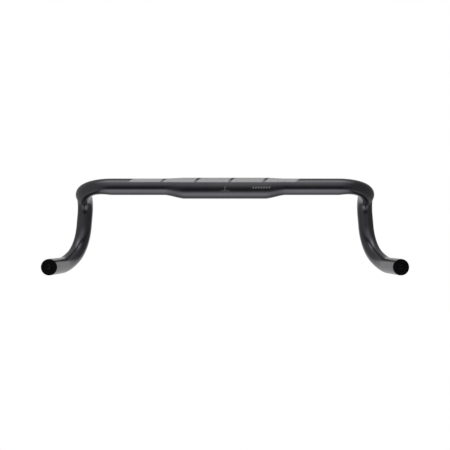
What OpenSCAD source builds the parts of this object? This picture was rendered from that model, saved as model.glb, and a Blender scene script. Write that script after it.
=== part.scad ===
// Flared drop handlebar with an expanding plug in each end.
// +X runs to the rider's right, +Y forward and +Z up. The origin is the middle of the clamp axis.
// All lengths are in millimetres and all angles in degrees.

/* [Clamp area] */
// Diameter of the centre section that the stem holds
clamp_d = 31.8; // [31:0.1:32.5]
// Length of the centre section at its full diameter
clamp_len = 124; // [100:1:140]
// Wall thickness of the centre section
clamp_wall = 2.4; // [2:0.1:3]
// Distance from the middle of the bar to the end of each taper
taper_end = 90; // [80:1:110]

/* [Tops] */
// Distance from the middle of the bar to the start of each corner bend
tops_half = 171; // [150:1:190]
// Diameter of the tops before they are flattened
tops_d = 24.9; // [24:0.1:26]
// Height of the tops' centre line above the clamp axis
tops_rise = 2.2; // [0:0.1:3]
// Depth of the flat that runs along the lower rear of the tops
facet_depth = 0.42; // [0:0.02:0.5]
// Depth of the flat under the middle of each corner bend
corner_flat = 2.2; // [0:0.1:2.4]

/* [Hooks] */
// Diameter of the tube in the hooks and drops
tube_d = 23.8; // [22.2:0.1:24.2]
// Wall thickness of the tube in the hooks and drops
tube_wall = 1.9; // [1.6:0.1:2.2]
// Radius of the corner bend from the tops into the ramp
corner_r = 49; // [40:1:60]
// Downward slope of the ramp
ramp_slope = 14.7; // [5:0.1:20]
// Straight length of the ramp
ramp_len = 3; // [2:0.5:12]
// Radius of the bend at the front of the hook
hook_r = 27; // [25:1:36]
// Straight length that the brake lever clamps to
seat_len = 17.5; // [10:0.5:25]
// Outward lean of the lever seat
seat_flare = 4; // [0:0.5:8]
// Rearward lean of the lever seat
seat_lean = 6.4; // [2:0.2:12]
// Radius of the middle bend of the hook
mid_r = 62; // [50:1:75]
// Radius of the last bend, which runs out into the drop
low_r = 98; // [80:1:110]

/* [Drops] */
// Outward angle of the drops, seen from above
outsweep = 7.7; // [4:0.1:12]
// Straight length of each drop
drop_len = 54.6; // [46:0.2:80]

/* [End plugs] */
// Thickness of the cap outside the tube
cap_t = 2.6; // [2:0.1:3]
// Length of the cap's spigot inside the tube
spigot_len = 9; // [8:0.5:11]
// Length of the jaws that grip the tube
jaw_len = 18; // [14:1:20]
// Half angle of the wedge
wedge_angle = 8; // [6:0.5:9]

/* [Hidden] */
$fn = 96;

LEFT = -1;
RIGHT = 1;

black = [0.10, 0.10, 0.11];
rubber_black = [0.06, 0.06, 0.06];
jaw_grey = [0.30, 0.31, 0.33];
alloy = [0.66, 0.67, 0.69];
steel = [0.55, 0.56, 0.58];

tube_r = tube_d / 2;
bore_r = tube_r - tube_wall;

// Neighbouring lengths of tube run into each other by lap, with walls thinner by a skin on each face.
lap = 0.3;
bend_skin = 0.02;
loft_skin = 0.2;
// How far a cutting shape runs past the face it cuts
past = 1;

// Straight that joins the middle and last bends of the hook
link_len = 1.2;
// Direction of the tube between those two bends, as an outward and a rearward lean
link_flare = 18;
link_lean = 64.4;

// ---------- Centre line of the right half ----------

function unit(v) = v / norm(v);

// Vector from the start of a bend towards its centre, for a bend that turns direction a into b
function to_centre(a, b) = cross(unit(cross(a, b)), a);

function turn(a, b) = acos(a * b);

function bend_point(p, a, b, r, t) = p + r * (sin(t) * a + (1 - cos(t)) * to_centre(a, b));

function bend_end(p, a, b, r) = bend_point(p, a, b, r, turn(a, b));

d_tops = [1, 0, 0];
d_ramp = [0, cos(ramp_slope), -sin(ramp_slope)];
d_seat = unit([sin(seat_flare), -sin(seat_lean), -1]);
d_link = unit([sin(link_flare), -sin(link_lean), -cos(link_lean)]);
d_drop = [sin(outsweep), -cos(outsweep), 0];

p_corner = [tops_half, 0, tops_rise];
p_ramp = bend_end(p_corner, d_tops, d_ramp, corner_r);
p_hook = p_ramp + ramp_len * d_ramp;
p_seat = bend_end(p_hook, d_ramp, d_seat, hook_r);
p_mid = p_seat + seat_len * d_seat;
p_link = bend_end(p_mid, d_seat, d_link, mid_r);
p_low = p_link + link_len * d_link;
p_drop = bend_end(p_low, d_link, d_drop, low_r);
p_end = p_drop + drop_len * d_drop;

// ---------- Outline of the tops ----------

// A smooth hump of height 1 at mid that falls to 0 at half to each side
function hump(e, mid, half) = abs(e - mid) < half ? (1 + cos(180 * (e - mid) / half)) / 2 : 0;

// Its slope per radian
function hump_slope(e, mid, half) = abs(e - mid) < half ? -90 / half * sin(180 * (e - mid) / half) : 0;

// Where each flat faces, measured from straight back towards straight up, and how far it spreads
facet_mid = -46;
facet_half = 28;
under_mid = -90;
under_half = 70;

// Point of the outline whose outward normal is at angle e. Each flat is a dip in the distance from the
// centre to the tangent line, so the outline stays smooth and closed.
function outline_point(e, r, facet, under) =
  let (reach = r - facet * hump(e, facet_mid, facet_half) - under * hump(e, under_mid, under_half))
  let (shift = -facet * hump_slope(e, facet_mid, facet_half) - under * hump_slope(e, under_mid, under_half))
  reach * [cos(e), sin(e)] + shift * [-sin(e), cos(e)];

outline_sides = 32;

// One ring of points at p. A ring is [p, back, up, radius, wall, facet depth, underside depth].
function ring_points(ring, inset) = [
  for (i = [0:outline_sides - 1])
    let (q = outline_point(i * 360 / outline_sides - 180, ring[3] - inset, ring[5], ring[6]))
    ring[0] + q[0] * ring[1] + q[1] * ring[2]];

function mix(a, b, w) = a * (1 - w) + b * w;

function ease(t) = t * t * (3 - 2 * t);

// ---------- Rings from the clamp area to the ramp ----------

back = [0, -1, 0];
up = [0, 0, 1];
taper_steps = 5;
corner_steps = 11;

// The taper is close to straight, with a soft start and finish.
function taper_mix(t) = (t + ease(t)) / 2;

function taper_ring(t) =
  let (w = taper_mix(t))
  [
    [mix(clamp_len / 2, taper_end, t), 0, mix(0, tops_rise, w)],
    back, up,
    mix(clamp_d / 2, tops_d / 2, w),
    mix(clamp_wall, tube_wall, w),
    facet_depth * w,
    0];

// The facet fades out through the corner while the flat underneath comes and goes.
function corner_ring(t) =
  let (a = t * turn(d_tops, d_ramp))
  let (outward = sin(a) * d_tops - cos(a) * d_ramp)
  let (normal = cross(d_tops, d_ramp))
  [
    bend_point(p_corner, d_tops, d_ramp, corner_r, a),
    cos(ramp_slope) * outward - sin(ramp_slope) * normal,
    sin(ramp_slope) * outward + cos(ramp_slope) * normal,
    mix(tops_d / 2, tube_r, ease(t)),
    tube_wall,
    facet_depth * (1 - ease(min(1, 2 * t))),
    corner_flat * pow(sin(180 * pow(t, 0.7)), 2)];

function shifted(ring, v) = concat([ring[0] + v], [for (i = [1:6]) ring[i]]);

function skinned(ring) =
  [ring[0], ring[1], ring[2], ring[3] - loft_skin, ring[4] - 2 * loft_skin, ring[5], ring[6]];

loft_rings = concat(
  [skinned(shifted(taper_ring(0), -lap * d_tops))],
  [skinned(shifted(taper_ring(0), lap * d_tops))],
  [for (i = [1:taper_steps]) taper_ring(i / taper_steps)],
  [for (i = [0:corner_steps - 1]) corner_ring(i / corner_steps)],
  [skinned(shifted(corner_ring(1), -lap * d_ramp))],
  [skinned(shifted(corner_ring(1), lap * d_ramp))]);

// ---------- Tube building blocks ----------

module wall_ring(r_out, r_in) {
  difference() {
    circle(r = r_out);
    circle(r = r_in);
  }
}

// Axes x, y and z as a placement at p
module placed(x, y, z, p) {
  multmatrix([
    [x[0], y[0], z[0], p[0]],
    [x[1], y[1], z[1], p[1]],
    [x[2], y[2], z[2], p[2]],
    [0, 0, 0, 1]]) children();
}

module straight_tube(p, d, len) {
  x = unit(cross(d, up));
  placed(x, cross(d, x), d, p) linear_extrude(len) wall_ring(tube_r, bore_r);
}

// A bend from direction a into direction b, longer by lap at each end
module bent_tube(p, a, b, r) {
  c = to_centre(a, b);
  extra = lap / r * 180 / PI;
  placed(-c, a, cross(a, c), p + r * c)
    rotate([0, 0, -extra])
      rotate_extrude(angle = turn(a, b) + 2 * extra)
        translate([r, 0]) wall_ring(tube_r - bend_skin, bore_r + bend_skin);
}

// A hollow tube whose wall follows a list of rings
module lofted_tube(rings) {
  n = outline_sides;
  last = len(rings) - 1;
  outer = [for (ring = rings) each ring_points(ring, 0)];
  inner = [for (ring = rings) each ring_points(ring, ring[4])];
  in0 = len(outer);
  outer_faces = [
    for (i = [0:last - 1], j = [0:n - 1])
      [i * n + (j + 1) % n, (i + 1) * n + (j + 1) % n, (i + 1) * n + j, i * n + j]];
  inner_faces = [
    for (f = outer_faces) [in0 + f[3], in0 + f[2], in0 + f[1], in0 + f[0]]];
  start_faces = [
    for (j = [0:n - 1]) [in0 + j, in0 + (j + 1) % n, (j + 1) % n, j]];
  end_faces = [
    for (j = [0:n - 1])
      [in0 + last * n + (j + 1) % n, in0 + last * n + j, last * n + j, last * n + (j + 1) % n]];
  polyhedron(
    points = concat(outer, inner),
    faces = concat(outer_faces, inner_faces, start_faces, end_faces),
    convexity = 6);
}

module on_side(side) {
  if (side == RIGHT) children();
  else mirror([1, 0, 0]) children();
}

module half_bar() {
  lofted_tube(loft_rings);
  straight_tube(p_ramp, d_ramp, ramp_len);
  bent_tube(p_hook, d_ramp, d_seat, hook_r);
  straight_tube(p_seat, d_seat, seat_len);
  bent_tube(p_mid, d_seat, d_link, mid_r);
  straight_tube(p_link, d_link, link_len);
  bent_tube(p_low, d_link, d_drop, low_r);
  straight_tube(p_drop, d_drop, drop_len);
}

module clamp_tube() {
  rotate([0, 90, 0])
    linear_extrude(clamp_len, center = true)
      wall_ring(clamp_d / 2, clamp_d / 2 - clamp_wall);
}

module bar_tube() {
  color(black) {
    clamp_tube();
    half_bar();
    mirror([1, 0, 0]) half_bar();
  }
}

// ---------- End plugs, drawn along +Z with the tube's end face at z = 0 ----------

// Bolt: an M5 socket head screw
bolt_r = 2.5;
bolt_len = 36;
head_r = 4.25;
head_h = 5;
hex_af = 4;
hex_depth = 2.6;

washer_r = 4.45;
washer_t = 0.8;

// Cap: the flange is a little smaller than the tube, so that a grip slides over it.
flange_inset = 0.1;
flange_r = tube_r - flange_inset;
flange_round = 1.1;
spigot_clear = 0.3;
spigot_r = bore_r - spigot_clear;
dish_r = 8.6;
dish_depth = 0.9;
pocket_r = 4.75;
head_drop = 0.2;
bolt_clear = 0.1;

dish_z = cap_t - dish_depth;
head_z = dish_z - head_drop - head_h;
pocket_z = head_z - washer_t;

// Jaws: three segments with a wedge-shaped inside
jaw_clear = 0.05;
jaw_r = bore_r - jaw_clear;
jaw_gap = 0.1;
jaw_top_z = -spigot_len - jaw_gap;
jaw_end_z = jaw_top_z - jaw_len;
jaw_slot = 2.4;
jaw_inner_r = 5.2;

// Band: a rubber ring in a groove round the jaws
band_r = 0.8;
band_inset = 1.05;
band_ring_r = jaw_r - band_inset;
band_z = jaw_top_z - jaw_len / 2;
groove_depth = 1.95;
groove_half = 1;

// Cone: the wedge-shaped nut on the bolt
cone_gap = 0.05;
cone_lead = 2.6;
cone_tail = 4;
rib_w = 1.2;
rib_r = 7.7;
rib_len = 8;
rib_setback = 0.5;

function wedge_r(z) = jaw_inner_r + (jaw_top_z - z) * tan(wedge_angle);

module at_drop_end(side) {
  on_side(side) translate(p_end) rotate([90, 0, outsweep]) children();
}

module cap_profile() {
  difference() {
    union() {
      translate([0, -spigot_len]) square([spigot_r, spigot_len + past]);
      square([flange_r - flange_round, cap_t]);
      square([flange_r, cap_t - flange_round]);
      translate([flange_r - flange_round, cap_t - flange_round]) circle(r = flange_round);
    }
    translate([0, dish_z]) square([dish_r, dish_depth + past]);
    translate([0, pocket_z]) square([pocket_r, head_h + washer_t + head_drop + past]);
    translate([0, -spigot_len - past]) square([bolt_r + bolt_clear, spigot_len + 2 * past]);
    translate([-flange_r, -spigot_len - past]) square([flange_r, spigot_len + cap_t + 2 * past]);
  }
}

module plug_cap(side) {
  color(black) at_drop_end(side) rotate_extrude() cap_profile();
}

module plug_washer(side) {
  color(steel)
    at_drop_end(side)
      translate([0, 0, pocket_z])
        linear_extrude(washer_t) wall_ring(washer_r, bolt_r + bolt_clear);
}

module plug_bolt(side) {
  chamfer = 0.4;
  color(black)
    at_drop_end(side)
      difference() {
        rotate_extrude()
          polygon([
            [0, head_z - bolt_len],
            [bolt_r - chamfer, head_z - bolt_len],
            [bolt_r, head_z - bolt_len + chamfer],
            [bolt_r, head_z],
            [head_r, head_z],
            [head_r, head_z + head_h - chamfer],
            [head_r - chamfer, head_z + head_h],
            [0, head_z + head_h]]);
        translate([0, 0, head_z + head_h - hex_depth])
          cylinder(r = hex_af / sqrt(3), h = hex_depth + past, $fn = 6);
      }
}

module plug_cone(side) {
  top_z = jaw_top_z - cone_lead;
  end_z = jaw_end_z - cone_tail;
  color(alloy)
    at_drop_end(side)
      difference() {
        union() {
          rotate_extrude()
            polygon([
              [0, end_z],
              [wedge_r(end_z) - cone_gap, end_z],
              [wedge_r(top_z) - cone_gap, top_z],
              [0, top_z]]);
          for (k = [0:2])
            rotate([0, 0, 30 + 120 * k])
              translate([0, -rib_w / 2, top_z - rib_len]) cube([rib_r, rib_w, rib_len - rib_setback]);
        }
        translate([0, 0, end_z - past]) cylinder(r = bolt_r + cone_gap, h = top_z - end_z + 2 * past);
      }
}

module plug_band(side) {
  color(rubber_black)
    at_drop_end(side)
      translate([0, 0, band_z])
        rotate_extrude() translate([band_ring_r, 0]) circle(r = band_r, $fn = 32);
}

module jaw_profile() {
  difference() {
    polygon([
      [wedge_r(jaw_end_z), jaw_end_z],
      [jaw_r, jaw_end_z],
      [jaw_r, jaw_top_z],
      [wedge_r(jaw_top_z), jaw_top_z]]);
    translate([jaw_r - groove_depth, band_z - groove_half]) square([groove_depth + past, 2 * groove_half]);
  }
}

// Jaw 1 points up, and jaws 2 and 3 follow counterclockwise round the plug of the right side.
module plug_jaw(side, number) {
  slot_box = [jaw_r + 2 * past, jaw_slot / 2, jaw_len + 2 * past];
  color(jaw_grey)
    at_drop_end(side)
      rotate([0, 0, 30 + 120 * (number - 1)])
        difference() {
          rotate_extrude(angle = 120) jaw_profile();
          translate([0, 0, jaw_end_z - past]) cube(slot_box);
          rotate([0, 0, 120]) translate([0, -jaw_slot / 2, jaw_end_z - past]) cube(slot_box);
        }
}

bar_tube();
plug_cap(LEFT);  // left_plug_cap
plug_washer(LEFT);  // left_plug_washer
plug_bolt(LEFT);  // left_plug_bolt
plug_cone(LEFT);  // left_plug_cone
plug_band(LEFT);  // left_plug_band
plug_jaw(LEFT, 1);  // left_plug_jaw_1
plug_jaw(LEFT, 2);  // left_plug_jaw_2
plug_jaw(LEFT, 3);  // left_plug_jaw_3
plug_cap(RIGHT);  // right_plug_cap
plug_washer(RIGHT);  // right_plug_washer
plug_bolt(RIGHT);  // right_plug_bolt
plug_cone(RIGHT);  // right_plug_cone
plug_band(RIGHT);  // right_plug_band
plug_jaw(RIGHT, 1);  // right_plug_jaw_1
plug_jaw(RIGHT, 2);  // right_plug_jaw_2
plug_jaw(RIGHT, 3);  // right_plug_jaw_3
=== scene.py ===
"""Looks of the flared drop handlebar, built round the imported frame.

Lengths are in metres and angles in degrees. Every piece rebuilds one CAD node at the same size and place.
"""

import math
from collections import namedtuple

import bpy
import numpy as np
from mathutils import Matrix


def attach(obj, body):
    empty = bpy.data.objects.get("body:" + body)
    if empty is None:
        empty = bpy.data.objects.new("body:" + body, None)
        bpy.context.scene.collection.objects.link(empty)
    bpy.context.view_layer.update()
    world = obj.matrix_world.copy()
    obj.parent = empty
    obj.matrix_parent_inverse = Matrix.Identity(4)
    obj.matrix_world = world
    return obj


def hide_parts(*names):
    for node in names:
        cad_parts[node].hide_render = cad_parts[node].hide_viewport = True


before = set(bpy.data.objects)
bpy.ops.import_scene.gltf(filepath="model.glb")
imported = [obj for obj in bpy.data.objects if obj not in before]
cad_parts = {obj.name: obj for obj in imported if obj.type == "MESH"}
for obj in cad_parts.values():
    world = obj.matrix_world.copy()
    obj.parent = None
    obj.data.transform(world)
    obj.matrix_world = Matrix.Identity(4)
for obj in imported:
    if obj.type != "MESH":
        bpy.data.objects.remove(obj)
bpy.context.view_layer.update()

MM = 0.001

# ---------- Driving dimensions, repeated from the part ----------

CLAMP_R, CLAMP_HALF, CLAMP_WALL = 15.9 * MM, 62 * MM, 2.4 * MM
TAPER_END = 90 * MM
TOPS_HALF, TOPS_R, TOPS_RISE = 171 * MM, 12.45 * MM, 2.2 * MM
FACET_DEPTH, FACET_MID, FACET_HALF = 0.42 * MM, -46, 28
CORNER_FLAT, UNDER_MID, UNDER_HALF = 2.2 * MM, -90, 70
TUBE_R, TUBE_WALL = 11.9 * MM, 1.9 * MM
CORNER_R, HOOK_R, MID_R, LOW_R = 49 * MM, 27 * MM, 62 * MM, 98 * MM
RAMP_SLOPE, SEAT_FLARE, SEAT_LEAN = 14.7, 4, 6.4
LINK_FLARE, LINK_LEAN, OUTSWEEP = 18, 64.4, 7.7
RAMP_LEN, SEAT_LEN, LINK_LEN, DROP_LEN = 3 * MM, 17.5 * MM, 1.2 * MM, 54.6 * MM

BORE_R = TUBE_R - TUBE_WALL
CAP_T, SPIGOT_LEN = 2.6 * MM, 9 * MM
FLANGE_R, FLANGE_ROUND = 11.8 * MM, 1.1 * MM
DISH_R, DISH_DEPTH, POCKET_R = 8.6 * MM, 0.9 * MM, 4.75 * MM
SPIGOT_R = BORE_R - 0.3 * MM
BOLT_R, BOLT_LEN, BOLT_PITCH = 2.5 * MM, 36 * MM, 0.8 * MM
HEAD_R, HEAD_H, HEX_AF, HEX_DEPTH = 4.25 * MM, 5 * MM, 4 * MM, 2.6 * MM
WASHER_R, WASHER_T = 4.45 * MM, 0.8 * MM
HOLE_R = 2.6 * MM
DISH_Z = CAP_T - DISH_DEPTH
HEAD_Z = DISH_Z - 0.2 * MM - HEAD_H
POCKET_Z = HEAD_Z - WASHER_T
JAW_R, JAW_LEN, JAW_SLOT = BORE_R - 0.05 * MM, 18 * MM, 2.4 * MM
JAW_TOP_Z = -SPIGOT_LEN - 0.1 * MM
JAW_END_Z = JAW_TOP_Z - JAW_LEN
WEDGE_ANGLE, WEDGE_R = 8, 5.2 * MM
BAND_R, BAND_RING_R = 0.8 * MM, JAW_R - 1.05 * MM
BAND_Z = JAW_TOP_Z - JAW_LEN / 2
GROOVE_DEPTH, GROOVE_HALF = 1.95 * MM, 1 * MM
CONE_TOP_Z, CONE_END_Z = JAW_TOP_Z - 2.6 * MM, JAW_END_Z - 4 * MM
CONE_GAP = 0.05 * MM
RIB_W, RIB_R, RIB_LEN = 1.2 * MM, 7.7 * MM, 8 * MM

SIDES = {"left": -1, "right": 1}


def sin(a):
    return math.sin(math.radians(a))


def cos(a):
    return math.cos(math.radians(a))


def vec(*v):
    return np.array(v, float)


def unit(v):
    return v / np.linalg.norm(v)


def ease(t):
    return t * t * (3 - 2 * t)


def mix(a, b, w):
    return a * (1 - w) + b * w


# ---------- The bar's centre line, as rings ----------

# p is the middle, back and up span the ring's plane, r is its radius, wall the tube's thickness there,
# and facet and under are the depths of its two flats.
Ring = namedtuple("Ring", "p back up r wall facet under")

D_TOPS = vec(1, 0, 0)
D_RAMP = vec(0, cos(RAMP_SLOPE), -sin(RAMP_SLOPE))
D_SEAT = unit(vec(sin(SEAT_FLARE), -sin(SEAT_LEAN), -1))
D_LINK = unit(vec(sin(LINK_FLARE), -sin(LINK_LEAN), -cos(LINK_LEAN)))
D_DROP = vec(sin(OUTSWEEP), -cos(OUTSWEEP), 0)
RING_STEP = 2 * MM
TAPER_STEPS, CORNER_STEPS = 22, 48


def turn(a, b):
    return math.acos(float(a @ b))


def bend_point(p, a, b, r, t):
    centre = np.cross(unit(np.cross(a, b)), a)
    return p + r * (math.sin(t) * a + (1 - math.cos(t)) * centre)


def bend_direction(a, b, t):
    centre = np.cross(unit(np.cross(a, b)), a)
    return math.cos(t) * a + math.sin(t) * centre


def clamp_and_taper():
    """Rings from the middle of the bar to the end of the taper."""
    back, up = vec(0, -1, 0), vec(0, 0, 1)
    rings = []
    steps = round(CLAMP_HALF / RING_STEP)
    for i in range(steps):
        x = CLAMP_HALF * i / steps
        rings.append(Ring(vec(x, 0, 0), back, up, CLAMP_R, CLAMP_WALL, 0, 0))
    for i in range(TAPER_STEPS):
        t = i / TAPER_STEPS
        w = (t + ease(t)) / 2
        p = vec(mix(CLAMP_HALF, TAPER_END, t), 0, TOPS_RISE * w)
        r, wall = mix(CLAMP_R, TOPS_R, w), mix(CLAMP_WALL, TUBE_WALL, w)
        rings.append(Ring(p, back, up, r, wall, FACET_DEPTH * w, 0))
    steps = round((TOPS_HALF - TAPER_END) / RING_STEP)
    for i in range(steps):
        p = vec(mix(TAPER_END, TOPS_HALF, i / steps), 0, TOPS_RISE)
        rings.append(Ring(p, back, up, TOPS_R, TUBE_WALL, FACET_DEPTH, 0))
    return rings


def corner():
    """Rings of the corner bend. The facet fades out while the flat underneath comes and goes."""
    start, whole = vec(TOPS_HALF, 0, TOPS_RISE), turn(D_TOPS, D_RAMP)
    normal = np.cross(D_TOPS, D_RAMP)
    rings = []
    for i in range(CORNER_STEPS + 1):
        t = i / CORNER_STEPS
        outward = math.sin(t * whole) * D_TOPS - math.cos(t * whole) * D_RAMP
        rings.append(Ring(
            bend_point(start, D_TOPS, D_RAMP, CORNER_R, t * whole),
            cos(RAMP_SLOPE) * outward - sin(RAMP_SLOPE) * normal,
            sin(RAMP_SLOPE) * outward + cos(RAMP_SLOPE) * normal,
            mix(TOPS_R, TUBE_R, ease(t)), TUBE_WALL,
            FACET_DEPTH * (1 - ease(min(1, 2 * t))),
            CORNER_FLAT * sin(180 * t ** 0.7) ** 2))
    return rings


def hook_and_drop(first):
    """Rings of the round tube after the corner, each turned as little as can be from the one before."""
    stations = []
    p = first.p

    def straight(d, length):
        nonlocal p
        steps = max(1, round(length / RING_STEP / 2))
        for i in range(1, steps + 1):
            stations.append((p + d * length * i / steps, d))
        p = p + d * length

    def bend(a, b, r):
        nonlocal p
        whole = turn(a, b)
        steps = round(r * whole / RING_STEP)
        for i in range(1, steps + 1):
            t = whole * i / steps
            stations.append((bend_point(p, a, b, r, t), bend_direction(a, b, t)))
        p = stations[-1][0]

    straight(D_RAMP, RAMP_LEN)
    bend(D_RAMP, D_SEAT, HOOK_R)
    straight(D_SEAT, SEAT_LEN)
    bend(D_SEAT, D_LINK, MID_R)
    straight(D_LINK, LINK_LEN)
    bend(D_LINK, D_DROP, LOW_R)
    straight(D_DROP, DROP_LEN)
    rings, back = [], first.back
    for q, d in stations:
        back = unit(back - (back @ d) * d)
        rings.append(Ring(q, back, np.cross(back, d), TUBE_R, TUBE_WALL, 0, 0))
    return rings


def half_rings():
    """Rings from the middle of the bar to the right end."""
    bend = corner()
    return clamp_and_taper() + bend + hook_and_drop(bend[-1])


def hump(e, mid, half):
    """A smooth hump, 1 in the middle and 0 from half degrees away."""
    return np.where(np.abs(e - mid) < half, (1 + np.cos(np.pi * (e - mid) / half)) / 2, 0)


def hump_slope(e, mid, half):
    """The hump's slope for each radian."""
    return np.where(np.abs(e - mid) < half, -90 / half * np.sin(np.pi * (e - mid) / half), 0)


def ring_points(ring, angles, inset):
    """Points of a ring whose outward normals are at these angles, from back towards up, pulled in by inset."""
    r = ring.r - inset
    reach = (r - ring.facet * hump(angles, FACET_MID, FACET_HALF)
             - ring.under * hump(angles, UNDER_MID, UNDER_HALF))
    shift = (-ring.facet * hump_slope(angles, FACET_MID, FACET_HALF)
             - ring.under * hump_slope(angles, UNDER_MID, UNDER_HALF))
    c, s = np.cos(np.radians(angles)), np.sin(np.radians(angles))
    q0, q1 = reach * c - shift * s, reach * s + shift * c
    return ring.p + q0[:, None] * ring.back + q1[:, None] * ring.up


# ---------- Meshes ----------

def make_object(name, points, faces, materials, face_material=None, smooth_angle=32):
    mesh = bpy.data.meshes.new(name)
    mesh.from_pydata([tuple(p) for p in points], [], faces)
    mesh.validate()
    for m in materials:
        mesh.materials.append(m)
    if face_material is not None:
        mesh.polygons.foreach_set("material_index", np.array(face_material, np.int32))
    mesh.shade_smooth()
    mesh.set_sharp_from_angle(angle=math.radians(smooth_angle))
    mesh.update()
    obj = bpy.data.objects.new(name, mesh)
    bpy.context.scene.collection.objects.link(obj)
    return obj


def loop_faces(a, b, n):
    """Quads between two loops of n points that start at a and b."""
    return [(a + j, a + (j + 1) % n, b + (j + 1) % n, b + j) for j in range(n)]


RING_SIDES = 120
END_CHAMFER = 0.3 * MM


def bar_rings():
    """Rings from the left end to the right end."""
    half = half_rings()
    flip = vec(-1, 1, 1)
    left = [r._replace(p=r.p * flip, back=r.back * flip, up=r.up * flip) for r in reversed(half[1:])]
    return left + half


def bar_mesh(outer_material, inner_material):
    """The bar as one hollow tube with a small chamfer at each end."""
    rings = bar_rings()
    angles = np.arange(RING_SIDES) * 360 / RING_SIDES - 180
    chamfer = END_CHAMFER
    gaps = [np.linalg.norm(b.p - a.p) for a, b in zip(rings, rings[1:])]
    along = np.concatenate([[0], np.cumsum(gaps)])
    along -= along[-1] / 2

    def pulled(ring, inward, distance):
        return ring._replace(p=ring.p + unit(inward) * distance)

    first_in, last_in = rings[1].p - rings[0].p, rings[-2].p - rings[-1].p
    outer = [(rings[0], chamfer), (pulled(rings[0], first_in, chamfer), 0)]
    outer += [(r, 0) for r in rings[1:-1]]
    outer += [(pulled(rings[-1], last_in, chamfer), 0), (rings[-1], chamfer)]
    inner = [(rings[0], rings[0].wall - chamfer), (pulled(rings[0], first_in, chamfer), rings[0].wall)]
    inner += [(r, r.wall) for r in rings[1:-1:2]]
    inner += [(pulled(rings[-1], last_in, chamfer), rings[-1].wall), (rings[-1], rings[-1].wall - chamfer)]
    stations = np.concatenate([[along[0], along[0]], along[1:-1], [along[-1], along[-1]]])

    points = np.concatenate([ring_points(r, angles, inset) for r, inset in outer + inner])
    n, start_in = RING_SIDES, len(outer) * RING_SIDES
    faces, which = [], []
    for i in range(len(outer) - 1):
        faces += loop_faces(i * n, (i + 1) * n, n)
        which += [0] * n
    for i in range(len(inner) - 1):
        faces += loop_faces(start_in + (i + 1) * n, start_in + i * n, n)
        which += [1] * n
    faces += loop_faces(start_in, 0, n)
    faces += loop_faces((len(outer) - 1) * n, start_in + (len(inner) - 1) * n, n)
    which += [0] * (2 * n)
    bar = make_object("bar_skin", points, faces, [outer_material, inner_material], which, 25)

    # The map says where a point is along the bar, in metres, and round it, in turns.
    layer = bar.data.uv_layers.new(name="along_and_round")
    values = np.zeros((len(bar.data.loops), 2), np.float32)
    turns = angles / 360
    for poly in bar.data.polygons:
        columns = [bar.data.loops[k].vertex_index % n for k in poly.loop_indices]
        wraps = max(columns) - min(columns) > 1
        for k in poly.loop_indices:
            v = bar.data.loops[k].vertex_index
            row, column = divmod(v, n) if v < start_in else (0, v % n)
            values[k] = (stations[row], turns[column] + (1 if wraps and column == 0 else 0))
    layer.data.foreach_set("uv", values.ravel())
    return bar


def lathe(profile, segments=96):
    """Points and faces of a closed profile of (radius, height) turned about the z axis."""
    points, faces = [], []
    n = len(profile)
    for j in range(segments):
        a = 360 * j / segments
        points += [vec(r * cos(a), r * sin(a), z) for r, z in profile]
    for j in range(segments):
        k = (j + 1) % segments
        for i in range(n):
            m = (i + 1) % n
            faces.append((j * n + i, k * n + i, k * n + m, j * n + m))
    return points, faces


def rounded(corners, steps=5):
    """A closed profile from (radius, height, rounding) corners, each rounded by an arc that touches both sides."""
    out = []
    count = len(corners)
    for i in range(count):
        r, z, bend = corners[i]
        here = vec(r, z)
        if bend <= 0:
            out.append((r, z))
            continue
        before = unit(vec(*corners[i - 1][:2]) - here)
        after = unit(vec(*corners[(i + 1) % count][:2]) - here)
        half = math.acos(max(-1, min(1, float(before @ after)))) / 2
        reach = bend / math.tan(half)
        centre = here + unit(before + after) * bend / math.sin(half)
        a, b = here + before * reach - centre, here + after * reach - centre
        for k in range(steps + 1):
            w = k / steps
            q = centre + unit(mix(a, b, w)) * bend
            out.append((float(q[0]), float(q[1])))
    return out


def end_frame(side):
    """The tube end's own axes: x outward, y up, z out of the tube's end, and the middle of the end face."""
    flip = vec(side, 1, 1)
    z = D_DROP * flip
    return vec(cos(OUTSWEEP), sin(OUTSWEEP), 0) * flip, vec(0, 0, 1), z, bar_rings()[-1].p * flip


def at_end(side, points):
    """Points given in the tube end's own axes, in the object's frame."""
    x, y, z, p = end_frame(side)
    return [p + q[0] * x + q[1] * y + q[2] * z for q in points]


def turned(faces, side):
    """Faces of the right side, or wound the other way for the left side, which is a mirror image."""
    return faces if side > 0 else [tuple(reversed(f)) for f in faces]


def joined(*parts):
    """Several lists of points and faces as one."""
    points, faces = [], []
    for more_points, more_faces in parts:
        base = len(points)
        points += list(more_points)
        faces += [tuple(base + i for i in f) for f in more_faces]
    return points, faces


def plug_piece(side_name, label, geometry, finish, node, body):
    """One piece of a plug, made, placed, and put on its body in place of its CAD node."""
    side = SIDES[side_name]
    points, faces = geometry
    obj = make_object(f"{side_name}_{label}", at_end(side, points), turned(faces, side), [finish])
    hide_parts(f"{side_name}_{node}")
    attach(obj, f"{side_name}_{body}")
    return obj


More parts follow.
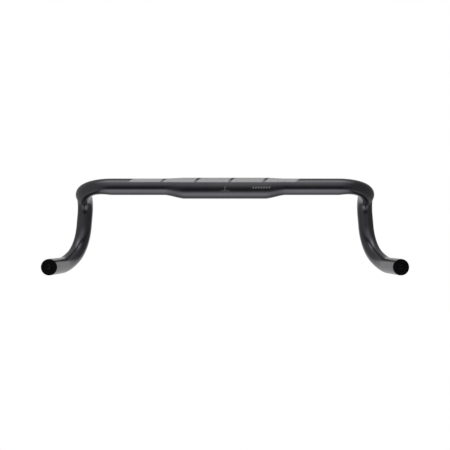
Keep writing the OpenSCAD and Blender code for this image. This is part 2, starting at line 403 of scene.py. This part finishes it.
def cap_geometry():
    """The cap: a domed rim, a dished face, a pocket for the bolt's head and grooves round the spigot."""
    corners = [(HOLE_R, -SPIGOT_LEN, 0.2 * MM), (SPIGOT_R, -SPIGOT_LEN, 0.5 * MM)]
    groove_z, groove_step, groove_w, groove_d = -7.4 * MM, 2.3 * MM, 0.8 * MM, 0.45 * MM
    edge = 0.1 * MM
    for k in range(3):
        z = groove_z + k * groove_step
        corners += [
            (SPIGOT_R, z, edge), (SPIGOT_R - groove_d, z + edge, edge),
            (SPIGOT_R - groove_d, z + groove_w, edge), (SPIGOT_R, z + groove_w + edge, edge)]
    slope = 0.35 * MM
    corners += [
        (SPIGOT_R, 0, 0), (FLANGE_R, 0, 0.15 * MM), (FLANGE_R, CAP_T, FLANGE_ROUND),
        (DISH_R + slope, CAP_T, 0.5 * MM), (DISH_R - slope, DISH_Z, slope),
        (POCKET_R, DISH_Z, 0.3 * MM), (POCKET_R, POCKET_Z, edge), (HOLE_R, POCKET_Z, edge)]
    return lathe(rounded(corners), 128)


def washer_geometry():
    edge = 0.15 * MM
    corners = [
        (HOLE_R, POCKET_Z, edge), (WASHER_R, POCKET_Z, edge),
        (WASHER_R, POCKET_Z + WASHER_T, edge), (HOLE_R, POCKET_Z + WASHER_T, edge)]
    return lathe(rounded(corners, 3), 72)


def head_geometry():
    """A socket cap head: knurled side, chamfered rim and a hexagonal socket with a conical floor."""
    segments = 144
    top, hex_r = HEAD_Z + HEAD_H, HEX_AF / math.sqrt(3)
    knurl, foot, rim = 0.12 * MM, 0.25 * MM, 0.4 * MM
    knurl_low, knurl_high = HEAD_Z + 0.7 * MM, top - 1 * MM
    socket_z = top - HEX_DEPTH
    turns = [360 * j / segments for j in range(segments)]

    def circle(radius, z, depth=0.0):
        cut = [radius - depth * (j % 4 in (1, 2)) for j in range(segments)]
        return [vec(r * cos(a), r * sin(a), z) for r, a in zip(cut, turns)]

    def hexagon(z):
        reach = [hex_r * cos(30) / cos(30 - abs((a + 30) % 60 - 30)) for a in turns]
        return [vec(r * cos(a), r * sin(a), z) for r, a in zip(reach, turns)]

    levels = [
        circle(BOLT_R, HEAD_Z), circle(HEAD_R - foot, HEAD_Z), circle(HEAD_R, HEAD_Z + foot),
        circle(HEAD_R, knurl_low), circle(HEAD_R, knurl_low + 0.1 * MM, knurl),
        circle(HEAD_R, knurl_high - 0.1 * MM, knurl), circle(HEAD_R, knurl_high),
        circle(HEAD_R, top - rim), circle(HEAD_R - 0.3 * rim, top - 0.3 * rim), circle(HEAD_R - rim, top),
        circle(hex_r + 0.35 * MM, top), hexagon(top - 0.25 * MM), hexagon(socket_z),
        circle(0.9 * MM, socket_z - 0.5 * MM)]
    points = [q for row in levels for q in row]
    faces = []
    for i in range(len(levels) - 1):
        faces += loop_faces(i * segments, (i + 1) * segments, segments)
    centre, last = len(points), len(points) - segments
    points.append(vec(0, 0, socket_z - 0.75 * MM))
    faces += [(last + j, last + (j + 1) % segments, centre) for j in range(segments)]
    return points, faces


def shank_geometry(side):
    """The threaded shank: a right-hand helix on both sides, under a plain neck and above a pointed tip."""
    segments, per_turn = 36, 8
    depth, run_in, run_out = 0.45 * MM, 1.2 * MM, 0.8 * MM
    end_z, neck_z = HEAD_Z - BOLT_LEN, HEAD_Z - 10 * MM
    tip = 0.6 * MM
    rows = [(BOLT_R * 0.7, end_z, False), (BOLT_R * 0.84, end_z + 0.25 * MM, False)]
    steps = round((neck_z - end_z - tip) / (BOLT_PITCH / per_turn))
    rows += [(BOLT_R, end_z + tip + i * BOLT_PITCH / per_turn, True) for i in range(steps + 1)]
    rows += [(BOLT_R, neck_z + 0.4 * MM, False), (BOLT_R, HEAD_Z, False)]
    points = []
    for radius, z, threaded in rows:
        fade = min(1, (z - end_z) / run_in, max(0, (neck_z - z) / run_out)) if threaded else 0
        for j in range(segments):
            a = 360 * j / segments
            phase = (z / BOLT_PITCH - side * a / 360) % 1
            tooth = 1 - abs(2 * phase - 1)
            r = radius - depth * fade * min(1, max(0, 1.25 * tooth - 0.125))
            points.append(vec(r * cos(a), r * sin(a), z))
    faces = []
    for i in range(len(rows) - 1):
        faces += [tuple(reversed(f)) for f in loop_faces((i + 1) * segments, i * segments, segments)]
    faces.append(tuple(reversed(range(segments))))
    return points, faces


def bolt_geometry(side):
    return joined(head_geometry(), shank_geometry(side))


def wedge_r(z):
    """Radius of the wedge surface that the cone and the jaws share."""
    return WEDGE_R + (JAW_TOP_Z - z) * math.tan(math.radians(WEDGE_ANGLE))


def cone_geometry():
    """The wedge nut: a turned cone with three ribs that run in the slots between the jaws."""
    inner, edge = BOLT_R + CONE_GAP, 0.3 * MM
    corners = [
        (inner, CONE_END_Z, edge), (wedge_r(CONE_END_Z) - CONE_GAP, CONE_END_Z, edge),
        (wedge_r(CONE_TOP_Z) - CONE_GAP, CONE_TOP_Z, edge), (inner, CONE_TOP_Z, edge)]
    ribs = [rib_geometry(30 + 120 * k, inner + 1 * MM) for k in range(3)]
    return joined(lathe(rounded(corners, 4), 96), *ribs)


def rib_geometry(angle, r_in):
    """A rib at this angle, with its outer edges cut at a slant."""
    edge, half = 0.2 * MM, RIB_W / 2
    low, high = CONE_TOP_Z - RIB_LEN, CONE_TOP_Z - 0.5 * MM
    x, y = vec(cos(angle), sin(angle), 0), vec(-sin(angle), cos(angle), 0)
    outline = [
        (r_in, -half), (RIB_R - edge, -half), (RIB_R, -half + edge),
        (RIB_R, half - edge), (RIB_R - edge, half), (r_in, half)]
    points = []
    for z, cut in ((low, edge), (low + edge, 0), (high - edge, 0), (high, edge)):
        for r, w in outline:
            points.append(x * (r - cut * (r > r_in)) + y * w + vec(0, 0, z))
    n = len(outline)
    faces = []
    for i in range(3):
        faces += loop_faces(i * n, (i + 1) * n, n)
    faces.append(tuple(reversed(range(n))))
    faces.append(tuple(range(3 * n, 4 * n)))
    return points, faces


def jaw_outside():
    """The jaw's outer profile from its inner end to the cap: grip ridges, and a groove for the band."""
    ridge, tooth, edge, clear = 1 * MM, 0.22 * MM, 0.3 * MM, 0.3 * MM
    groove_low, groove_high = BAND_Z - GROOVE_HALF, BAND_Z + GROOVE_HALF
    floor = JAW_R - GROOVE_DEPTH
    profile = [(JAW_R - edge, JAW_END_Z), (JAW_R, JAW_END_Z + edge)]
    z = JAW_END_Z + 0.8 * MM
    while z < JAW_TOP_Z - 1.2 * MM:
        if z + ridge < groove_low - clear or z > groove_high + clear:
            profile += [
                (JAW_R, z), (JAW_R - tooth, z + 0.25 * ridge),
                (JAW_R - tooth, z + 0.45 * ridge), (JAW_R, z + 0.7 * ridge)]
            z += ridge
        elif z < groove_high:
            profile += [(JAW_R, groove_low), (floor, groove_low), (floor, groove_high), (JAW_R, groove_high)]
            z = groove_high + 0.5 * MM
        else:
            z += 0.2 * MM
    return profile + [(JAW_R, JAW_TOP_Z - edge), (JAW_R - edge, JAW_TOP_Z)]


def jaw_geometry(number):
    """A jaw: a third of a wedge-shaped sleeve, less half a slot at each side."""
    steps = 28
    middle = 90 + 120 * (number - 1)
    profile = jaw_outside() + [(wedge_r(JAW_TOP_Z), JAW_TOP_Z), (wedge_r(JAW_END_Z), JAW_END_Z)]
    n = len(profile)
    points, faces = [], []
    for j in range(steps + 1):
        w = 2 * j / steps - 1
        for r, z in profile:
            a = middle + w * (60 - math.degrees(math.asin(JAW_SLOT / 2 / r)))
            points.append(vec(r * cos(a), r * sin(a), z))
    for j in range(steps):
        for i in range(n):
            m = (i + 1) % n
            faces.append((j * n + i, (j + 1) * n + i, (j + 1) * n + m, j * n + m))
    faces.append(tuple(reversed(range(n))))
    faces.append(tuple(range(steps * n, steps * n + n)))
    return points, faces


def band_geometry():
    steps = 20
    turns = [360 * k / steps for k in range(steps)]
    return lathe([(BAND_RING_R + BAND_R * cos(a), BAND_Z + BAND_R * sin(a)) for a in turns])


# ---------- Materials ----------

def material(name, colour, metallic, roughness, specular=0.5):
    """A material with its node tree and its shader."""
    m = bpy.data.materials.new(name)
    m.use_nodes = True
    shader = m.node_tree.nodes["Principled BSDF"]
    shader.inputs["Base Color"].default_value = (*colour, 1)
    shader.inputs["Metallic"].default_value = metallic
    shader.inputs["Roughness"].default_value = roughness
    shader.inputs["Specular IOR Level"].default_value = specular
    return m, m.node_tree, shader


def noise(tree, scale, detail=3.0, stretch=None):
    """Noise in object space, its scale in cycles per metre, with each axis scaled again by stretch."""
    coordinates = tree.nodes.new("ShaderNodeTexCoord")
    texture = tree.nodes.new("ShaderNodeTexNoise")
    texture.inputs["Scale"].default_value = scale
    texture.inputs["Detail"].default_value = detail
    source = coordinates.outputs["Object"]
    if stretch:
        mapping = tree.nodes.new("ShaderNodeMapping")
        mapping.inputs["Scale"].default_value = stretch
        tree.links.new(source, mapping.inputs["Vector"])
        source = mapping.outputs["Vector"]
    tree.links.new(source, texture.inputs["Vector"])
    return texture.outputs["Fac"]


def remap(tree, value, low, high, start=0.3, end=0.7):
    """low where the value is start or less, high where it is end or more, and even between."""
    node = tree.nodes.new("ShaderNodeMapRange")
    node.inputs["From Min"].default_value = start
    node.inputs["From Max"].default_value = end
    node.inputs["To Min"].default_value = low
    node.inputs["To Max"].default_value = high
    tree.links.new(value, node.inputs["Value"])
    return node.outputs["Result"]


def calc(tree, operation, a, b=None):
    """One step of arithmetic on numbers or sockets."""
    node = tree.nodes.new("ShaderNodeMath")
    node.operation = operation
    for socket, value in zip(node.inputs, (a, b)):
        if value is None:
            continue
        if isinstance(value, (int, float)):
            socket.default_value = value
        else:
            tree.links.new(value, socket)
    return node.outputs[0]


def bump(tree, shader, height, strength, distance):
    node = tree.nodes.new("ShaderNodeBump")
    node.inputs["Strength"].default_value = strength
    node.inputs["Distance"].default_value = distance
    tree.links.new(height, node.inputs["Height"])
    tree.links.new(node.outputs["Normal"], shader.inputs["Normal"])


def colour_mix(tree, factor, a, b):
    """A colour between a and b, each a colour or a socket."""
    node = tree.nodes.new("ShaderNodeMix")
    node.data_type = "RGBA"
    tree.links.new(factor, node.inputs["Factor"])
    for name, value in (("A", a), ("B", b)):
        socket = next(s for s in node.inputs if s.name == name and s.type == "RGBA")
        if isinstance(value, tuple):
            socket.default_value = (*value, 1)
        else:
            tree.links.new(value, socket)
    return next(s for s in node.outputs if s.type == "RGBA")


def inside(tree, value, low, high, soft):
    """1 where the value is between low and high, with soft edges."""
    rise = remap(tree, value, 0, 1, low - soft, low + soft)
    fall = remap(tree, value, 1, 0, high - soft, high + soft)
    return calc(tree, "MULTIPLY", rise, fall)


def greatest(tree, values):
    """The greatest of several sockets."""
    out = values[0]
    for value in values[1:]:
        out = calc(tree, "MAXIMUM", out, value)
    return out


BAR_METALLIC = 0.9
PRINT_GREY = (0.68, 0.67, 0.68)
SOFT, SOFT_DEG = 0.12 * MM, 0.5

# A plain row of equal stripes along the tops, as where each starts and ends in millimetres before the slant.
# SLANT is the shift along the bar for each degree round it, and angles round it run from back towards up.
STRIPES = tuple((start, start + 46) for start in range(-150, 60, 51))
STRIPE_LOW, STRIPE_HIGH, SLANT = 33.5, 80.5, 0.17 * MM


def printed_marks(tree):
    """Where the pale print lies: slanted stripes along the tops, a centring scale and a row of dashes."""
    where = tree.nodes.new("ShaderNodeUVMap")
    where.uv_map = "along_and_round"
    split = tree.nodes.new("ShaderNodeSeparateXYZ")
    tree.links.new(where.outputs["UV"], split.inputs["Vector"])
    along = split.outputs["X"]
    round_deg = calc(tree, "MULTIPLY", split.outputs["Y"], 360)
    slanted = calc(tree, "SUBTRACT", along, calc(tree, "MULTIPLY", round_deg, SLANT))

    def span(low, high):
        return inside(tree, along, low * MM, high * MM, SOFT)

    def sector(low, high):
        return inside(tree, round_deg, low, high, SOFT_DEG)

    def both(a, b):
        return calc(tree, "MULTIPLY", a, b)

    def repeat(value, pitch):
        return calc(tree, "FRACT", calc(tree, "MULTIPLY", value, 1 / pitch))

    stripes = greatest(tree, [inside(tree, slanted, low * MM, high * MM, SOFT) for low, high in STRIPES])
    stripes = both(sector(STRIPE_LOW, STRIPE_HIGH), stripes)
    # Centring scale: a long mark in the middle and short ticks beside it, 2 mm apart
    off_middle = calc(tree, "ABSOLUTE", calc(tree, "SUBTRACT", repeat(along, 2 * MM), 0.5))
    ticks = both(both(remap(tree, off_middle, 0, 1, 0.36, 0.42), span(-7, 7)), sector(-20, -12))
    middle = both(span(-0.4, 0.4), sector(-20, 8))
    # Dashes to the right of the middle, 4 mm apart
    dashes = both(both(inside(tree, repeat(slanted, 4 * MM), 0.2, 0.75, 0.04), span(40, 68)), sector(-3, 6))
    small = greatest(tree, [ticks, middle, dashes])
    return calc(tree, "MAXIMUM", stripes, calc(tree, "MULTIPLY", small, 0.7))


def anodised_black():
    """Satin black anodising over fine blasting, with faint cloudiness and the pale print."""
    dark, light = (0.117, 0.113, 0.126), (0.133, 0.129, 0.142)
    print_roughness = 0.12
    m, tree, shader = material("bar_anodised_black", dark, BAR_METALLIC, 0.21)
    fine = noise(tree, 5200, 2)
    broad = noise(tree, 26, 3)
    marks = printed_marks(tree)
    base = colour_mix(tree, remap(tree, broad, 0, 1), dark, light)
    tree.links.new(colour_mix(tree, marks, base, PRINT_GREY), shader.inputs["Base Color"])
    bare = calc(tree, "SUBTRACT", 1, marks)
    tree.links.new(calc(tree, "MULTIPLY", bare, BAR_METALLIC), shader.inputs["Metallic"])
    rough = calc(tree, "ADD", remap(tree, broad, 0.19, 0.23), remap(tree, fine, -0.03, 0.03))
    rough = calc(tree, "ADD", rough, calc(tree, "MULTIPLY", marks, print_roughness))
    tree.links.new(rough, shader.inputs["Roughness"])
    bump(tree, shader, fine, 0.05, 0.02 * MM)
    return m


def bore_black():
    """The inside of the tube: dull anodising over the rough drawn surface."""
    dark, light = (0.035, 0.034, 0.037), (0.06, 0.058, 0.062)
    m, tree, shader = material("bore_dull_black", dark, 0.7, 0.5)
    rough = noise(tree, 900, 4)
    tree.links.new(remap(tree, rough, 0.42, 0.6), shader.inputs["Roughness"])
    tree.links.new(colour_mix(tree, rough, dark, light), shader.inputs["Base Color"])
    bump(tree, shader, rough, 0.3, 0.05 * MM)
    return m


def moulded(name, dark, light, low, high, scale=1500, strength=0.25):
    """Fine spark-eroded moulded surface, its roughness between low and high."""
    m, tree, shader = material(name, dark, 0, low, 0.12)
    texture = noise(tree, scale, 4)
    broad = noise(tree, 180, 3)
    tree.links.new(colour_mix(tree, remap(tree, broad, 0, 1), dark, light), shader.inputs["Base Color"])
    tree.links.new(remap(tree, texture, low, high), shader.inputs["Roughness"])
    bump(tree, shader, texture, strength, 0.05 * MM)
    return m


def cap_plastic():
    return moulded("cap_plastic", (0.0035, 0.0035, 0.0038), (0.006, 0.006, 0.0064), 0.5, 0.68, 1400, 0.2)


def jaw_plastic():
    return moulded("jaw_plastic_grey", (0.07, 0.074, 0.08), (0.1, 0.104, 0.11), 0.42, 0.6)


def band_rubber():
    return moulded("band_rubber_black", (0.014, 0.014, 0.014), (0.022, 0.022, 0.022), 0.5, 0.65, 700, 0.1)


def metal(name, dark, light, low, high, stretch=None):
    """Turned or plated metal: fine tool lines, with a little unevenness in colour."""
    m, tree, shader = material(name, dark, 1, low)
    lines = noise(tree, 600, 3, stretch)
    broad = noise(tree, 350, 3)
    tree.links.new(colour_mix(tree, remap(tree, broad, 0, 1), dark, light), shader.inputs["Base Color"])
    tree.links.new(remap(tree, lines, low, high), shader.inputs["Roughness"])
    bump(tree, shader, lines, 0.12, 0.02 * MM)
    return m


def black_oxide():
    return metal("bolt_black_oxide", (0.022, 0.022, 0.024), (0.04, 0.04, 0.043), 0.3, 0.45)


def zinc_plate():
    return metal("washer_zinc", (0.5, 0.51, 0.53), (0.62, 0.63, 0.65), 0.22, 0.4)


def turned_alloy():
    return metal("cone_turned_alloy", (0.62, 0.62, 0.64), (0.76, 0.76, 0.78), 0.2, 0.38, (0.2, 8, 0.2))


# ---------- Stage, light and camera ----------

WHITE = (1, 1, 1)


def glow(name, strength):
    """An even white glow."""
    m = bpy.data.materials.new(name)
    m.use_nodes = True
    tree = m.node_tree
    tree.nodes.clear()
    light = tree.nodes.new("ShaderNodeEmission")
    light.inputs["Color"].default_value = (*WHITE, 1)
    light.inputs["Strength"].default_value = strength
    out = tree.nodes.new("ShaderNodeOutputMaterial")
    tree.links.new(light.outputs[0], out.inputs["Surface"])
    return m


def stage_object(name, points, faces, finish):
    mesh = bpy.data.meshes.new(name)
    mesh.from_pydata([tuple(p) for p in points], [], faces)
    obj = bpy.data.objects.new(name, mesh)
    bpy.context.scene.collection.objects.link(obj)
    mesh.materials.append(finish)
    return obj


def only_seen(obj):
    """The camera sees it, and it neither lights nor shades the object."""
    obj.visible_diffuse = False
    obj.visible_glossy = False
    obj.visible_transmission = False
    obj.visible_shadow = False


def backdrop(radius, floor_z):
    """A pale floor, a pale wall all round and a pale ceiling."""
    half, top, thick = 2 * radius, 2 * radius, 0.01 * radius
    foot = floor_z - 0.2
    for name, z in (("floor", floor_z), ("ceiling", top)):
        corners = [(-half, -half, z), (half, -half, z), (half, half, z), (-half, half, z)]
        only_seen(stage_object(name, corners, [(0, 1, 2, 3)], glow(name + "_white", 1)))
    profile = [(radius, foot), (radius, top), (radius + thick, top), (radius + thick, foot)]
    only_seen(stage_object("wall", *lathe(profile, 64), glow("wall_white", 1)))


# Brightness of the studio by direction, as an angle over the top from straight at the camera, in degrees.
# A long softbox hangs overhead, a white table is below, and the camera's side is dark.
SKY = (
    (-180, 0.25), (-125, 0.2), (-105, 0.45), (-86, 1.2), (-68, 1.3), (-50, 0.66), (-38, 0.12), (-24, 0.04),
    (-6, 0.06), (6, 0.13), (20, 0.36), (34, 0.56), (54, 0.62), (68, 0.9), (78, 1.9), (90, 1.7), (100, 0.5),
    (120, 0.38), (180, 0.25))
SKY_PEAK = 2
# Brightness at the two sides, and the part of a direction that lies along X where the ramp fades into it
LEFT_GLOW, RIGHT_GLOW = 0.3, 0.16
FADE_START, FADE_END = 0.22, 0.7


def studio_world():
    """The studio as a soft surround: one ramp by angle over the top, fading to even light at the two sides."""
    world = bpy.data.worlds.new("studio")
    bpy.context.scene.world = world
    world.use_nodes = True
    tree = world.node_tree
    background = tree.nodes["Background"]
    background.inputs["Color"].default_value = (*WHITE, 1)
    direction = tree.nodes.new("ShaderNodeTexCoord")
    split = tree.nodes.new("ShaderNodeSeparateXYZ")
    tree.links.new(direction.outputs["Generated"], split.inputs["Vector"])
    x, y, z = split.outputs
    angle = calc(tree, "ARCTAN2", z, calc(tree, "MULTIPLY", y, -1))
    ramp = tree.nodes.new("ShaderNodeValToRGB")
    ramp.color_ramp.interpolation = "B_SPLINE"
    turns = calc(tree, "MULTIPLY", angle, 1 / (2 * math.pi))
    tree.links.new(calc(tree, "ADD", turns, 0.5), ramp.inputs["Fac"])
    elements = ramp.color_ramp.elements
    for k, (deg, value) in enumerate(SKY):
        place = deg / 360 + 0.5
        element = elements[k] if k < 2 else elements.new(place)
        element.position = place
        element.color = (value / SKY_PEAK, value / SKY_PEAK, value / SKY_PEAK, 1)
    side = remap(tree, calc(tree, "ABSOLUTE", x), 0, 1, FADE_START, FADE_END)
    side_glow = remap(tree, x, LEFT_GLOW, RIGHT_GLOW, -0.5, 0.5)
    over = calc(tree, "MULTIPLY", ramp.outputs["Color"], SKY_PEAK)
    level = calc(tree, "ADD",
                 calc(tree, "MULTIPLY", calc(tree, "SUBTRACT", 1, side), over),
                 calc(tree, "MULTIPLY", side, side_glow))
    tree.links.new(level, background.inputs["Strength"])


def back_card(half_width, low, high, y, strength):
    """A white card behind the bar, which only reflections see."""
    corners = [(-half_width, y, low), (half_width, y, low), (half_width, y, high), (-half_width, y, high)]
    card = stage_object("back_card", corners, [(0, 1, 2, 3)], glow("card_white", strength))
    card.visible_camera = False
    card.visible_shadow = False


def camera(place, lens):
    """A level camera that looks forward along +Y from the rider's side."""
    data = bpy.data.cameras.new("camera")
    cam = bpy.data.objects.new("camera", data)
    bpy.context.scene.collection.objects.link(cam)
    cam.location = place
    cam.rotation_euler = (math.radians(90), 0, 0)
    data.sensor_width, data.lens = 36, lens
    data.clip_start, data.clip_end = 0.01, 60
    bpy.context.scene.camera = cam
    bpy.context.scene.view_settings.view_transform = "Standard"


# ---------- Build ----------

camera((0, -1.3946, -0.0554), 74)
studio_world()
backdrop(radius=6, floor_z=-0.5)
back_card(half_width=0.36, low=-0.55, high=0.12, y=0.6, strength=0.72)

bar = bar_mesh(anodised_black(), bore_black())
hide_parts("bar_tube")
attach(bar, "bar")

cap, jaw, band = cap_plastic(), jaw_plastic(), band_rubber()
bolt, washer, cone = black_oxide(), zinc_plate(), turned_alloy()
for name, side in SIDES.items():
    plug_piece(name, "cap", cap_geometry(), cap, "plug_cap", "plug")
    plug_piece(name, "washer", washer_geometry(), washer, "plug_washer", "plug")
    plug_piece(name, "bolt", bolt_geometry(side), bolt, "plug_bolt", "bolt")
    plug_piece(name, "cone", cone_geometry(), cone, "plug_cone", "cone")
    plug_piece(name, "band", band_geometry(), band, "plug_band", "plug")
    for number in (1, 2, 3):
        label = f"jaw_{number}"
        plug_piece(name, label, jaw_geometry(number), jaw, f"plug_{label}", label)
